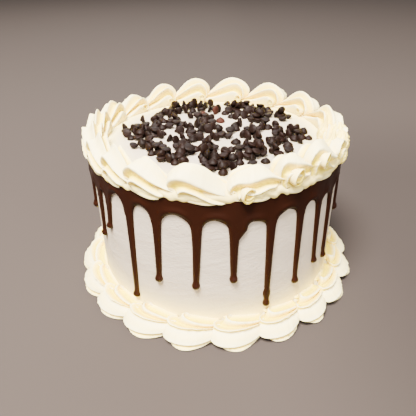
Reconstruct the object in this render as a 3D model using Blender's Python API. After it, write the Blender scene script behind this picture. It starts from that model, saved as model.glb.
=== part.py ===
"""Drip cake: a tall round frosted layer cake with a piped shell border round the top
edge and another round the foot, a dark chocolate collar that runs down the side in
drips, and chocolate chips scattered over the top.

The cake stands on z = 0 with its axis on +Z. The front of the cake faces -Y.
Azimuths are in degrees, counter-clockwise from +X seen from above, so the front is
-90. Sizes below are in millimetres and become metres when a point is placed.
"""

import math
import random

import bmesh
import bpy
from mathutils import Matrix, Vector

MM = 0.001
OBJECT_NAME = "drip_cake"
CLEARANCE = 0.3
MERGE_DISTANCE = 0.000002

# Frosted cake
CAKE_RADIUS = 101.4
CAKE_HEIGHT = 120.0
CAKE_EDGE_RADIUS = 4.0
CAKE_EDGE_STEPS = 2
CAKE_SIDES = 72

# Chocolate collar and its drips
COLLAR_THICKNESS = 2.1
COLLAR_TOP = 118.8
ARCH_TOP = 100.0
ARCH_SPREAD = 3.0
ARCH_DEPTH = 13.0
ARCH_SQUARENESS = 2.3
STEM_HALF_WIDTH = 2.8
BLOB_HALF_WIDTH = 3.4
STEM_THICKNESS = 2.5
BLOB_THICKNESS = 3.3
BACK_DRIP_COUNT = 16
BACK_DRIP_SHORTEST = 28.0
BACK_DRIP_LONGEST = 78.0
# Azimuth and lowest point of each drip on the front half, left to right
FRONT_DRIPS = (
    (-150.5, 56.0),
    (-141.5, 71.5),
    (-127.8, 18.8),
    (-114.6, 43.5),
    (-98.6, 42.5),
    (-83.7, 48.8),
    (-68.9, 20.6),
    (-54.7, 32.5),
    (-42.5, 40.0),
    (-32.0, 34.2),
)

# Piped borders: a star tip with seven teeth, dragged round the ring head first. Each
# tooth has an angle in the rope's section, with 90 at the crest, and a reach
TOOTH_STEP = 360.0 / 7
TOOTH_VALLEY = 0.66
VALLEY_SHARE = 0.36
TOP_TEETH = (
    (90.0, 1.0),
    (90.0 - TOOTH_STEP, 1.0),
    (90.0 - 2 * TOOTH_STEP, 1.0),
    (-47.0, 1.14),
    (90.0 - 4 * TOOTH_STEP, 1.0),
    (90.0 - 5 * TOOTH_STEP, 1.0),
    (90.0 - 6 * TOOTH_STEP, 1.0),
)
TOP_CREST_AZIMUTHS = (
    -163.0, -147.0, -130.5, -116.3, -98.0, -76.5, -57.5, -43.0, -23.5, -6.5,
    10.0, 33.5, 56.5, 79.0, 102.5, 123.0, 143.0, 161.5, 179.5,
)
TOP_RING_RADIUS = 96.5
TOP_BASE_HEIGHT = 110.0
TOP_LEAN = -3.0
TOP_SHELL_HEIGHT = 29.0
TOP_SHELL_HALF_WIDTH = 10.6
# The foot border lies on its side: its crest points outward, low over the floor, and
# the negative width turns its outer teeth up
FOOT_TEETH = (
    (120.0, 1.03),
    (90.0, 1.02),
    (90.0 - TOOTH_STEP, 1.0),
    (90.0 - 2 * TOOTH_STEP, 1.0),
    (-75.0, 1.0),
    (-130.0, 1.0),
)
FOOT_CREST_AZIMUTHS = (
    -155.0, -136.5, -119.4, -101.4, -83.4, -65.5, -48.1, -32.0, -14.5, 3.5,
    21.5, 39.5, 57.5, 75.5, 93.5, 111.5, 129.5, 147.5, 166.0, 185.0,
)
FOOT_RING_RADIUS = 95.0
FOOT_BASE_HEIGHT = 5.2
FOOT_LEAN = 90.0
FOOT_SHELL_HEIGHT = 28.4
FOOT_SHELL_HALF_WIDTH = -11.0
SHELL_SIZE_SPREAD = 0.05
SHELL_TURN_SPREAD = 5.0
MEAN_PITCH = 34.0
SHELL_SEED = 22

# Chocolate chips
CHIP_RADIUS = 3.5
CHIP_TALL = 6.0
CHIP_SIDES = 6
CHIP_SUNK = 0.7
CHIP_FIELD_RADIUS = 78.5
CHIP_SPACING = 7.4
CHIP_TRIES = 9000
CHIP_LIMIT = 120
UPPER_CHIP_COUNT = 12
# Bare patches of frosting between the clusters: x, y and radius
BARE_PATCHES = (
    (-56.0, -14.0, 13.0),
    (-33.0, 33.0, 10.0),
    (-20.0, -16.0, 11.0),
    (6.0, 30.0, 8.5),
    (13.0, -2.0, 9.0),
    (28.0, 14.0, 8.5),
    (-2.0, -34.0, 7.0),
    (48.0, -34.0, 8.0),
    (40.0, -6.0, 7.0),
    (55.0, 34.0, 13.0),
    (-58.0, 26.0, 8.0),
    (66.0, 2.0, 8.0),
    (-38.0, -46.0, 8.5),
    (20.0, -56.0, 8.0),
)


def clear_scene():
    for item in list(bpy.data.objects):
        bpy.data.objects.remove(item, do_unlink=True)


def new_collection(name):
    collection = bpy.data.collections.new(name)
    bpy.context.scene.collection.children.link(collection)
    return collection


def new_material(name, colour, roughness):
    material = bpy.data.materials.new(name)
    material.use_nodes = True
    shader = material.node_tree.nodes["Principled BSDF"]
    shader.inputs["Base Color"].default_value = (*colour, 1.0)
    shader.inputs["Roughness"].default_value = roughness
    shader.inputs["Metallic"].default_value = 0.0
    return material


def object_from_bmesh(name, mesh_data, collection):
    mesh = bpy.data.meshes.new(name)
    mesh_data.to_mesh(mesh)
    mesh_data.free()
    item = bpy.data.objects.new(name, mesh)
    collection.objects.link(item)
    return item


def polar_point(radius, azimuth, height):
    """Point in metres from a radius, an azimuth in radians and a height in mm."""
    return Vector((radius * math.cos(azimuth), radius * math.sin(azimuth), height)) * MM


def keep_largest_body(item):
    """Drop any loose scrap, so that the piece is one closed body."""
    shape = bmesh.new()
    shape.from_mesh(item.data)
    bmesh.ops.remove_doubles(shape, verts=shape.verts, dist=MERGE_DISTANCE)
    bmesh.ops.dissolve_degenerate(shape, edges=shape.edges, dist=MERGE_DISTANCE)
    unseen = set(shape.faces)
    bodies = []
    while unseen:
        stack = [unseen.pop()]
        body = list(stack)
        while stack:
            for edge in stack.pop().edges:
                for face in edge.link_faces:
                    if face in unseen:
                        unseen.remove(face)
                        body.append(face)
                        stack.append(face)
        bodies.append(body)
    bodies.sort(key=len, reverse=True)
    for body in bodies[1:]:
        bmesh.ops.delete(shape, geom=body, context="FACES")
    shape.to_mesh(item.data)
    shape.free()


def apply_boolean(item, operation, target, solver="EXACT"):
    """Union or difference with one object or a whole collection, applied at once."""
    modifier = item.modifiers.new(operation.lower(), "BOOLEAN")
    modifier.operation = operation
    modifier.solver = solver
    if isinstance(target, bpy.types.Collection):
        modifier.operand_type = "COLLECTION"
        modifier.collection = target
    else:
        modifier.object = target
    bpy.context.view_layer.objects.active = item
    bpy.ops.object.modifier_apply(modifier=modifier.name)


def remove_collection(collection):
    for item in list(collection.objects):
        bpy.data.objects.remove(item, do_unlink=True)
    bpy.data.collections.remove(collection)


def star_profile(teeth):
    """Corners of the piped rope's section as angle and reach: the teeth, and between
    two of them a valley, deepest close under the upper tooth so that each tooth is a
    lip. The section is plain below, where it is pressed on to the cake."""
    corners = []
    for (angle, reach), (following, next_reach) in zip(teeth, teeth[1:] + teeth[:1]):
        corners.append((math.radians(angle), reach))
        gap = (angle - following) % 360.0
        share = VALLEY_SHARE if angle > -80.0 else 1.0 - VALLEY_SHARE
        valley = angle - gap * share
        depth = (1.0 - TOOTH_VALLEY) * min(gap / TOOTH_STEP, 1.0)
        if gap <= TOOTH_STEP + 0.1 and not -150.0 < valley < -60.0:
            corners.append((math.radians(valley), (reach + next_reach) / 2 - depth))
    return corners


# Stations along one shell: fan angle of the section about the pivot under the
# crest, distance past the pivot in pitches, height share and width share
SHELL_STATIONS = (
    (-6.0, 0.0, 0.58, 0.66),
    (30.0, 0.0, 0.72, 0.88),
    (66.0, 0.0, 0.91, 0.98),
    (92.0, 0.06, 1.00, 1.00),
    (96.0, 0.36, 0.80, 0.92),
    (98.0, 0.74, 0.50, 0.68),
)


def shell_mesh(ring, crest_azimuth, pitch, size, turn):
    """One piped shell. Its sections fan out from a pivot line low under the crest,
    which makes the rounded head, and then follow the ring while they shrink to the
    tail that the next shell's head covers."""
    corners = star_profile(ring["teeth"])
    lean = math.radians(ring["lean"])
    height = ring["height"] * size
    width = ring["half_width"] * size
    crest = math.radians(crest_azimuth)
    shape = bmesh.new()
    rows = []
    for fan_angle, along, height_share, width_share in SHELL_STATIONS:
        fan = math.radians(fan_angle)
        row = []
        for angle, reach in corners:
            turned = angle + turn
            outward = 1.0 + 0.5 * height * height_share * (1.0 + reach * math.sin(turned))
            sideways = width * width_share * reach * math.cos(turned)
            travel = along * pitch - outward * math.cos(fan)
            rise = outward * math.sin(fan)
            radius = ring["radius"] + sideways * math.cos(lean) + rise * math.sin(lean)
            level = ring["base"] + rise * math.cos(lean) - sideways * math.sin(lean)
            azimuth = crest + travel / ring["radius"]
            row.append(shape.verts.new(polar_point(radius, azimuth, level)))
        rows.append(row)
    count = len(corners)
    for near, far in zip(rows, rows[1:]):
        for index in range(count):
            following = (index + 1) % count
            shape.faces.new((near[index], near[following], far[following], far[index]))
    shape.faces.new(rows[0])
    shape.faces.new(list(reversed(rows[-1])))
    bmesh.ops.triangulate(shape, faces=shape.faces)
    bmesh.ops.recalc_face_normals(shape, faces=shape.faces)
    return shape


def piped_border(name, ring, azimuths, collection, material, cutters):
    """A ring of overlapping shells, joined and cut back to what they rest against."""
    draw = random.Random(SHELL_SEED)
    shells = new_collection(name + "_shells")
    pieces = []
    for index, azimuth in enumerate(azimuths):
        following = azimuths[(index + 1) % len(azimuths)]
        gap = (following - azimuth) % 360.0
        pitch = math.radians(gap) * ring["radius"]
        size = 1.0 + draw.uniform(-SHELL_SIZE_SPREAD, SHELL_SIZE_SPREAD)
        size *= (pitch / MEAN_PITCH) ** 0.2
        turn = math.radians(draw.uniform(-SHELL_TURN_SPREAD, SHELL_TURN_SPREAD))
        shape = shell_mesh(ring, azimuth, pitch, size, turn)
        pieces.append(object_from_bmesh(f"{name}_shell_{index}", shape, shells))
    border = pieces[0]
    shells.objects.unlink(border)
    collection.objects.link(border)
    border.name = name
    apply_boolean(border, "UNION", shells, "MANIFOLD")
    remove_collection(shells)
    for cutter in cutters:
        apply_boolean(border, "DIFFERENCE", cutter, "MANIFOLD")
    keep_largest_body(border)
    border.data.materials.clear()
    border.data.materials.append(material)
    return border


def cylinder_cutter(name, radius, bottom, top, collection):
    shape = bmesh.new()
    bmesh.ops.create_cone(
        shape,
        cap_ends=True,
        segments=CAKE_SIDES,
        radius1=radius * MM,
        radius2=radius * MM,
        depth=(top - bottom) * MM,
        matrix=Matrix.Translation((0, 0, (top + bottom) / 2 * MM)),
    )
    cutter = object_from_bmesh(name, shape, collection)
    cutter.hide_render = True
    cutter.display_type = "WIRE"
    return cutter


def chip_mesh():
    """A chocolate chip: a flat round foot, a rounded shoulder and a drawn-out tip."""
    shape = bmesh.new()
    bmesh.ops.create_cone(
        shape,
        cap_ends=True,
        segments=CHIP_SIDES,
        radius1=CHIP_RADIUS * MM,
        radius2=CHIP_RADIUS * 0.62 * MM,
        depth=CHIP_TALL * 0.45 * MM,
        matrix=Matrix.Translation((0, 0, CHIP_TALL * 0.225 * MM)),
    )
    shoulder = [face for face in shape.faces if face.normal.z > 0.9]
    tip = bmesh.ops.poke(shape, faces=shoulder)["verts"][0]
    tip.co.z = CHIP_TALL * MM
    return shape


def chip_places():
    """Spots for the chips on the top: darts thrown inside the border and kept where
    they miss the bare patches and stand clear of the chips before them."""
    draw = random.Random(7)
    places = []
    for _ in range(CHIP_TRIES):
        if len(places) == CHIP_LIMIT:
            break
        distance = CHIP_FIELD_RADIUS * math.sqrt(draw.random())
        azimuth = draw.uniform(-math.pi, math.pi)
        x = distance * math.cos(azimuth)
        y = distance * math.sin(azimuth)
        bare = any(math.hypot(x - px, y - py) < pr for px, py, pr in BARE_PATCHES)
        crowded = any(math.hypot(x - qx, y - qy) < CHIP_SPACING for qx, qy in places)
        if not bare and not crowded:
            places.append((x, y))
    return places


def scatter_chips(collection):
    """Chips stand tip up, tip down or lie on their side, each turned at random. A few
    lie on top of two neighbours."""
    draw = random.Random(11)
    places = chip_places()
    spots = [(x, y, 0.0) for x, y in places]
    for index in range(UPPER_CHIP_COUNT):
        x, y = places[index * 7 % len(places)]
        near = sorted(places, key=lambda other: math.hypot(other[0] - x, other[1] - y))
        spots.append(((x + near[1][0]) / 2, (y + near[1][1]) / 2, 3.2))
    for index, (x, y, lift) in enumerate(spots):
        pose = draw.random()
        spin = draw.uniform(0, 2 * math.pi)
        level = CAKE_HEIGHT - CHIP_SUNK + lift
        tilt = draw.uniform(-0.2, 0.2)
        if 0.45 <= pose < 0.8:
            tilt = math.radians(109) + draw.uniform(-0.08, 0.08)
            level += CHIP_RADIUS * 0.94
        elif pose >= 0.8:
            tilt = math.pi + draw.uniform(-0.25, 0.25)
            level += CHIP_TALL * 0.92
        chip = object_from_bmesh(f"chip_{index}", chip_mesh(), collection)
        chip.location = Vector((x, y, level)) * MM
        turned = Matrix.Rotation(spin, 3, "Z") @ Matrix.Rotation(tilt, 3, "X")
        chip.rotation_euler = turned.to_euler()


def build_cake(collection, material):
    """The frosted cake with its rounded top edge and the chips fused on."""
    shape = bmesh.new()
    bmesh.ops.create_cone(
        shape,
        cap_ends=True,
        segments=CAKE_SIDES,
        radius1=CAKE_RADIUS * MM,
        radius2=CAKE_RADIUS * MM,
        depth=CAKE_HEIGHT * MM,
        matrix=Matrix.Translation((0, 0, CAKE_HEIGHT / 2 * MM)),
    )
    top = CAKE_HEIGHT * MM - 0.0001
    rim = [edge for edge in shape.edges if all(vertex.co.z > top for vertex in edge.verts)]
    bmesh.ops.bevel(
        shape,
        geom=rim,
        offset=CAKE_EDGE_RADIUS * MM,
        segments=CAKE_EDGE_STEPS,
        profile=0.5,
        affect="EDGES",
    )
    cake = object_from_bmesh("cake", shape, collection)
    chips = new_collection("chips")
    scatter_chips(chips)
    bpy.context.view_layer.update()
    apply_boolean(cake, "UNION", chips)
    remove_collection(chips)
    keep_largest_body(cake)
    cake.data.materials.clear()
    cake.data.materials.append(material)
    return cake


def all_drips():
    """Every drip as azimuth and lowest point: those of the front as seen, and the
    hidden half filled evenly with lengths drawn at random."""
    draw = random.Random(5)
    start = FRONT_DRIPS[-1][0]
    span = FRONT_DRIPS[0][0] + 360.0 - start
    step = span / (BACK_DRIP_COUNT + 1)
    drips = list(FRONT_DRIPS)
    for index in range(1, BACK_DRIP_COUNT + 1):
        azimuth = start + index * step + draw.uniform(-0.14, 0.14) * step
        drips.append((azimuth, draw.uniform(BACK_DRIP_SHORTEST, BACK_DRIP_LONGEST)))
    return drips


def funnel_half_width(depth, half_gap):
    """Half width of a drip at a depth below the arch top. The white arch between two
    drips is a superellipse, so the drip is what the arches leave."""
    share = min(depth / ARCH_DEPTH, 1.0)
    arch = (1.0 - (1.0 - share) ** ARCH_SQUARENESS) ** (1.0 / ARCH_SQUARENESS)
    return STEM_HALF_WIDTH + (half_gap - STEM_HALF_WIDTH) * (1.0 - arch)


def drip_rows(lowest, arch_level):
    """Heights, half-width rule and thickness of the rows down one drip."""
    funnel_shares = (0.0, 0.14, 0.5, 1.0)
    rows = [(arch_level - share * ARCH_DEPTH, "funnel", COLLAR_THICKNESS) for share in funnel_shares]
    rows.append((lowest + 2.4 * BLOB_HALF_WIDTH, "stem", STEM_THICKNESS))
    rows.append((lowest + 0.7 * BLOB_HALF_WIDTH, "blob", BLOB_THICKNESS))
    rows.append((lowest, "tip", BLOB_THICKNESS * 0.5))
    return rows


def build_collar(collection, material):
    """The chocolate collar: one thin wall round the side whose lower edge is a row of
    arches with a drip hanging between each two. Each drip is a grid of columns across
    and rows down, and neighbours share the upright line at the top of their arch."""
    drips = all_drips()
    count = len(drips)
    draw = random.Random(3)
    arch_levels = [ARCH_TOP + draw.uniform(-ARCH_SPREAD, ARCH_SPREAD) for _ in range(count)]
    columns = (-1.0, -0.42, 0.42, 1.0)
    edge_thinning = (0.5, 1.0, 1.0, 0.5)
    widths = {
        "stem": STEM_HALF_WIDTH,
        "blob": BLOB_HALF_WIDTH,
        "tip": BLOB_HALF_WIDTH * 0.5,
    }
    inner_radius = CAKE_RADIUS + CLEARANCE + 0.1
    shape = bmesh.new()
    for index, (azimuth, lowest) in enumerate(drips):
        before = drips[index - 1][0]
        after = drips[(index + 1) % count][0]
        left_gap = math.radians((azimuth - before) % 360.0) * CAKE_RADIUS / 2
        right_gap = math.radians((after - azimuth) % 360.0) * CAKE_RADIUS / 2
        left_arch = arch_levels[index]
        right_arch = arch_levels[(index + 1) % count]
        outer_rows = []
        inner_rows = []
        rows = [(COLLAR_TOP, "band", COLLAR_THICKNESS)] + drip_rows(lowest, ARCH_TOP)
        for level, kind, thickness in rows:
            outer = []
            inner = []
            for place, thinning in zip(columns, edge_thinning):
                half_gap = left_gap if place < 0 else right_gap
                arch = left_arch if place < 0 else right_arch
                height = level
                if kind == "band":
                    offset = place * half_gap
                    depth = thickness
                elif kind == "funnel":
                    below = ARCH_TOP - level
                    share = below / ARCH_DEPTH
                    offset = place * funnel_half_width(below, half_gap)
                    height = level + (arch - ARCH_TOP) * (1.0 - share) * abs(place)
                    thinned = 1.0 if below == 0.0 else thinning
                    depth = thickness * thinned
                else:
                    offset = place * widths[kind]
                    depth = thickness * thinning
                angle = math.radians(azimuth) + offset / CAKE_RADIUS
                outer.append(shape.verts.new(polar_point(inner_radius + depth, angle, height)))
                inner.append(shape.verts.new(polar_point(inner_radius, angle, height)))
            outer_rows.append(outer)
            inner_rows.append(inner)
        last_wide = 4
        for row in range(len(rows) - 1):
            for column in range(len(columns) - 1):
                upper = outer_rows[row]
                lower = outer_rows[row + 1]
                shape.faces.new((upper[column], lower[column], lower[column + 1], upper[column + 1]))
            upper = inner_rows[row]
            lower = inner_rows[row + 1]
            if row < last_wide:
                for column in range(len(columns) - 1):
                    shape.faces.new((upper[column + 1], lower[column + 1], lower[column], upper[column]))
            elif row == last_wide:
                shape.faces.new((*reversed(upper), lower[0], lower[-1]))
            else:
                shape.faces.new((upper[-1], upper[0], lower[0], lower[-1]))
            if row > 0:
                upper, lower = outer_rows[row], outer_rows[row + 1]
                inner_upper, inner_lower = inner_rows[row], inner_rows[row + 1]
                for side in (0, -1):
                    shape.faces.new((upper[side], lower[side], inner_lower[side], inner_upper[side]))
        upper, inner = outer_rows[0], inner_rows[0]
        for column in range(len(columns) - 1):
            shape.faces.new((upper[column], upper[column + 1], inner[column + 1], inner[column]))
        shape.faces.new((*outer_rows[-1], inner_rows[-1][-1], inner_rows[-1][0]))
        for row in range(last_wide + 1, len(rows)):
            for vertex in inner_rows[row][1:-1]:
                shape.verts.remove(vertex)
    bmesh.ops.remove_doubles(shape, verts=shape.verts, dist=0.00002)
    bmesh.ops.triangulate(shape, faces=shape.faces)
    bmesh.ops.recalc_face_normals(shape, faces=shape.faces)
    collar = object_from_bmesh("chocolate_drip", shape, collection)
    collar.data.materials.append(material)
    return collar


def shade_smoothly(item):
    item.data.shade_smooth()
    item.data.set_sharp_from_angle(angle=math.radians(38))


def main():
    clear_scene()
    parts = new_collection(OBJECT_NAME)
    cutters = new_collection("cutters")
    frosting = new_material("smooth_frosting", (0.78, 0.74, 0.68), 0.62)
    piping = new_material("piped_frosting", (0.90, 0.86, 0.76), 0.5)
    chocolate = new_material("dark_chocolate", (0.055, 0.021, 0.012), 0.32)

    rim_cutter = cylinder_cutter(
        "rim_cutter",
        CAKE_RADIUS + COLLAR_THICKNESS + 2 * CLEARANCE + 0.3,
        TOP_BASE_HEIGHT - 30.0,
        CAKE_HEIGHT + CLEARANCE,
        cutters,
    )
    side_cutter = cylinder_cutter("side_cutter", CAKE_RADIUS + CLEARANCE + 0.1, -30.0, 60.0, cutters)
    floor_cutter = cylinder_cutter("floor_cutter", CAKE_RADIUS + 60.0, -40.0, 0.0, cutters)

    cake = build_cake(parts, frosting)
    collar = build_collar(parts, chocolate)
    top_ring = {
        "radius": TOP_RING_RADIUS,
        "base": TOP_BASE_HEIGHT,
        "lean": TOP_LEAN,
        "height": TOP_SHELL_HEIGHT,
        "half_width": TOP_SHELL_HALF_WIDTH,
        "teeth": TOP_TEETH,
    }
    foot_ring = {
        "radius": FOOT_RING_RADIUS,
        "base": FOOT_BASE_HEIGHT,
        "lean": FOOT_LEAN,
        "height": FOOT_SHELL_HEIGHT,
        "half_width": FOOT_SHELL_HALF_WIDTH,
        "teeth": FOOT_TEETH,
    }
    foot_cutters = [side_cutter, floor_cutter]
    top = piped_border("top_border", top_ring, TOP_CREST_AZIMUTHS, parts, piping, [rim_cutter])
    foot = piped_border("bottom_border", foot_ring, FOOT_CREST_AZIMUTHS, parts, piping, foot_cutters)
    for item in (cake, collar, top, foot):
        shade_smoothly(item)


main()
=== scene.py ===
import math
import random

import bpy
import bmesh
import numpy as np
from mathutils import Matrix, Vector


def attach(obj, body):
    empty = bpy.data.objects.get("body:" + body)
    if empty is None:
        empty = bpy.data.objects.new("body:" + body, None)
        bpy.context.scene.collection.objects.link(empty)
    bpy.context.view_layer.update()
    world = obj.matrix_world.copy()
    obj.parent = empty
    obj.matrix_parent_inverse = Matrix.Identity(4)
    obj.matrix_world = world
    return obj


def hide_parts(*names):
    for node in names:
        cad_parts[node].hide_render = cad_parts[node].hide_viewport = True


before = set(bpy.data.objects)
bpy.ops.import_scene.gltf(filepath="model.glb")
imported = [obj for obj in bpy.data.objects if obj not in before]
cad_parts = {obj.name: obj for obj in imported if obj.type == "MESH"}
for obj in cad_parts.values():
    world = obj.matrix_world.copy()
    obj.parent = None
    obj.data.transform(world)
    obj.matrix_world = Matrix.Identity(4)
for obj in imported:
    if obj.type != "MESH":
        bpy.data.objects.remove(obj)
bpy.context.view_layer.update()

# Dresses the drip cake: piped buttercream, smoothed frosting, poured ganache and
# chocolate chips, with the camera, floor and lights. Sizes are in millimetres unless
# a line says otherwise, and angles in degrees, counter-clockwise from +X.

mm = 0.001


# Helpers

def toLinear(hexColour):
    # sRGB hex to linear RGBA: c/12.92 below 0.04045, else ((c + 0.055) / 1.055) ^ 2.4
    parts = [int(hexColour[i:i + 2], 16) / 255 for i in (0, 2, 4)]
    linear = [c / 12.92 if c <= 0.04045 else ((c + 0.055) / 1.055) ** 2.4 for c in parts]
    return (*linear, 1.0)


def setInputs(tree, node, inputs):
    # each input is a socket value, or (node, output) for a link
    for name, value in inputs.items():
        if isinstance(value, tuple) and isinstance(value[0], bpy.types.Node):
            tree.links.new(value[0].outputs[value[1]], node.inputs[name])
        else:
            node.inputs[name].default_value = value


def addNode(tree, kind, settings=None, inputs=None):
    # kind is the node's type without its ShaderNode, settings are its own properties
    node = tree.nodes.new("ShaderNode" + kind)
    for name, value in (settings or {}).items():
        setattr(node, name, value)
    setInputs(tree, node, inputs or {})
    return node


def newMaterial(name):
    material = bpy.data.materials.new(name)
    material.use_nodes = True
    tree = material.node_tree
    return material, tree, tree.nodes["Principled BSDF"]


def meshFromGrids(name, grids, attributes=None):
    # grids are (points[n, m, 3] in mm, wrapRows, wrapColumns); every grid becomes quads,
    # all in one mesh, and attributes are arrays that match the points
    allPoints, allFaces, offset = [], [], 0
    for points, wrapRows, wrapColumns in grids:
        n, m = points.shape[:2]
        index = np.arange(n * m).reshape(n, m) + offset
        if wrapRows:
            index = np.vstack([index, index[:1]])
        if wrapColumns:
            index = np.hstack([index, index[:, :1]])
        quads = np.stack([index[:-1, :-1], index[:-1, 1:], index[1:, 1:], index[1:, :-1]], axis=-1)
        allPoints.append(points.reshape(-1, 3))
        allFaces.append(quads.reshape(-1, 4))
        offset += n * m
    points = np.concatenate(allPoints) * mm
    faces = np.concatenate(allFaces)
    mesh = bpy.data.meshes.new(name)
    mesh.vertices.add(len(points))
    mesh.vertices.foreach_set("co", points.astype(np.float32).ravel())
    mesh.loops.add(faces.size)
    mesh.loops.foreach_set("vertex_index", faces.astype(np.int32).ravel())
    mesh.polygons.add(len(faces))
    mesh.polygons.foreach_set("loop_start", np.arange(0, faces.size, 4, dtype=np.int32))
    mesh.polygons.foreach_set("use_smooth", np.ones(len(faces), dtype=bool))
    mesh.update(calc_edges=True)
    for key, values in (attributes or {}).items():
        layer = mesh.attributes.new(key, "FLOAT", "POINT")
        layer.data.foreach_set("value", np.concatenate([v.ravel() for v in values]).astype(np.float32))
    mesh.validate()
    piece = bpy.data.objects.new(name, mesh)
    bpy.context.scene.collection.objects.link(piece)
    return piece


def mergeSeams(piece, distance, sharpest=180.0):
    # welds the grids where their edges meet, turns all faces outward and keeps an edge
    # crisp where its faces turn by more than sharpest degrees
    shape = bmesh.new()
    shape.from_mesh(piece.data)
    bmesh.ops.remove_doubles(shape, verts=shape.verts, dist=distance * mm)
    bmesh.ops.recalc_face_normals(shape, faces=shape.faces)
    shape.to_mesh(piece.data)
    shape.free()
    piece.data.shade_smooth()
    piece.data.set_sharp_from_angle(angle=math.radians(sharpest))


def finishPiece(piece, material, nodes=()):
    piece.data.materials.append(material)
    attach(piece, "root")
    if nodes:
        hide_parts(*nodes)


def waves(x, seed, lowest, highest, count=6):
    # sum of sines with drawn phases: a smooth uneven line that repeats over 2 pi
    draw = np.random.default_rng(seed)
    freqs = draw.integers(lowest, highest + 1, count)
    phases = draw.uniform(0, 2 * np.pi, count)
    total = sum(np.sin(f * x + p) for f, p in zip(freqs, phases))
    return total / math.sqrt(count)


def eased(x, start, span):
    # smooth step t^2 (3 - 2 t), t going from 0 at start to 1 at start + span
    t = np.clip((x - start) / span, 0, 1)
    return t * t * (3 - 2 * t)


def fullTurn(count):
    # evenly spaced angles over one turn, in radians
    return np.linspace(0, 2 * np.pi, count, endpoint=False)


def onCircle(radius, angle, level):
    # points at a distance from the cake's axis, an angle in radians and a level
    height = level * np.ones_like(radius * angle)
    return np.stack([radius * np.cos(angle), radius * np.sin(angle), height], axis=-1)


# Camera, set so that the render lies over the photo
view = {
    "place": (-6.2443, -347.818, 257.510),
    "right": (0.99988, -0.007966, -0.013301),
    "up": (0.015504, 0.513752, 0.857799),
    "lens": 38.51, "sensor": 36.0, "nearest": 0.01,
}
cameraData = bpy.data.cameras.new("photo_view")
cameraData.lens = view["lens"]
cameraData.sensor_width = view["sensor"]
cameraData.clip_start = view["nearest"]
camera = bpy.data.objects.new("photo_view", cameraData)
right, up = Vector(view["right"]).normalized(), Vector(view["up"]).normalized()
turn = Matrix((right, up, right.cross(up))).transposed()
camera.matrix_world = Matrix.Translation(Vector(view["place"]) * mm) @ turn.to_4x4()
bpy.context.scene.collection.objects.link(camera)
bpy.context.scene.camera = camera

# Soft studio lights, one row each: place, aim and size in metres, watts and colour
lighting = {
    "key": ((-0.46, -0.85, 2.05), (0, 0, 0.08), 0.9, 475.0, "FFF9F2"),
    "fill": ((0.7, -1.7, 1.15), (0, 0, 0.06), 1.6, 75.0, "FAF8F6"),
    "back": ((-0.3, 1.6, 1.4), (0, 0, 0.1), 1.4, 40.0, "FFFFFF"),
}
room = {"hex": "DAD8D8", "strength": 0.75}
for name, (place, aim, size, watts, colour) in lighting.items():
    lampData = bpy.data.lights.new(name, "AREA")
    lampData.shape = "DISK"
    lampData.size = size
    lampData.energy = watts
    lampData.color = toLinear(colour)[:3]
    lamp = bpy.data.objects.new(name, lampData)
    lamp.location = place
    lamp.rotation_euler = (Vector(aim) - Vector(place)).to_track_quat("-Z", "Y").to_euler()
    bpy.context.scene.collection.objects.link(lamp)
world = bpy.data.worlds.new("studio")
bpy.context.scene.world = world
world.use_nodes = True
setInputs(world.node_tree, world.node_tree.nodes["Background"], {
    "Color": toLinear(room["hex"]), "Strength": room["strength"]})

# A Mix node in colour mode repeats its socket names, so its sockets are named here
mixShare, mixFirst, mixSecond, mixResult = 0, 6, 7, 2
inColour, smoothly = {"data_type": "RGBA"}, {"interpolation_type": "SMOOTHSTEP"}
# In each look below, skin holds the values that go straight to the shader

# Matt paper backdrop: a soft taupe grey with no shine and a faint unevenness, with a
# painted shadow in front on the right. The painted shadow runs over these places on the floor, in metres.
look = {
    "halfWidth": 3000.0, "hex": "3D3632", "shadowHex": "302A27", "mottleScale": 1.4, "mottle": 0.12,
    "rightFrom": 0.02, "rightTo": 0.2, "frontFrom": 0.1, "frontTo": 0.45,
    "skin": {"Roughness": 0.95, "Specular IOR Level": 0.1},
}
paper, tree, shader = newMaterial("matt_backdrop_paper")
spot = addNode(tree, "TexCoord")
mottle = addNode(tree, "TexNoise", inputs={
    "Vector": (spot, "Object"), "Scale": look["mottleScale"], "Detail": 2.0})
apart = addNode(tree, "SeparateXYZ", inputs={"Vector": (spot, "Object")})
rightward = addNode(tree, "MapRange", smoothly, {
    "Value": (apart, "X"), "From Min": look["rightFrom"], "From Max": look["rightTo"],
    "To Min": 0.1, "To Max": 1.0})
forward = addNode(tree, "MapRange", smoothly, {
    "Value": (apart, "Y"), "From Min": look["frontFrom"], "From Max": look["frontTo"],
    "To Min": 1.0, "To Max": 0.2})
# painted shadow of the cake on the floor, strongest in front on the right
shadow = addNode(tree, "Math", {"operation": "MULTIPLY"}, {
    0: (rightward, "Result"), 1: (forward, "Result")})
mottleAndShadow = addNode(tree, "Math", {"operation": "MULTIPLY_ADD"}, {
    0: (mottle, "Fac"), 1: look["mottle"], 2: (shadow, "Value")})
tone = addNode(tree, "Mix", inColour, {
    mixShare: (mottleAndShadow, "Value"), mixFirst: toLinear(look["hex"]), mixSecond: toLinear(look["shadowHex"])})
setInputs(tree, shader, {"Base Color": (tone, mixResult), **look["skin"]})

half = look["halfWidth"]
corner = np.array([[[-half, -half, 0], [half, -half, 0]], [[-half, half, 0], [half, half, 0]]])
floor = meshFromGrids("floor", [(corner, False, False)])
floor.data.materials.append(paper)
print("camera, floor and lights set")
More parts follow.
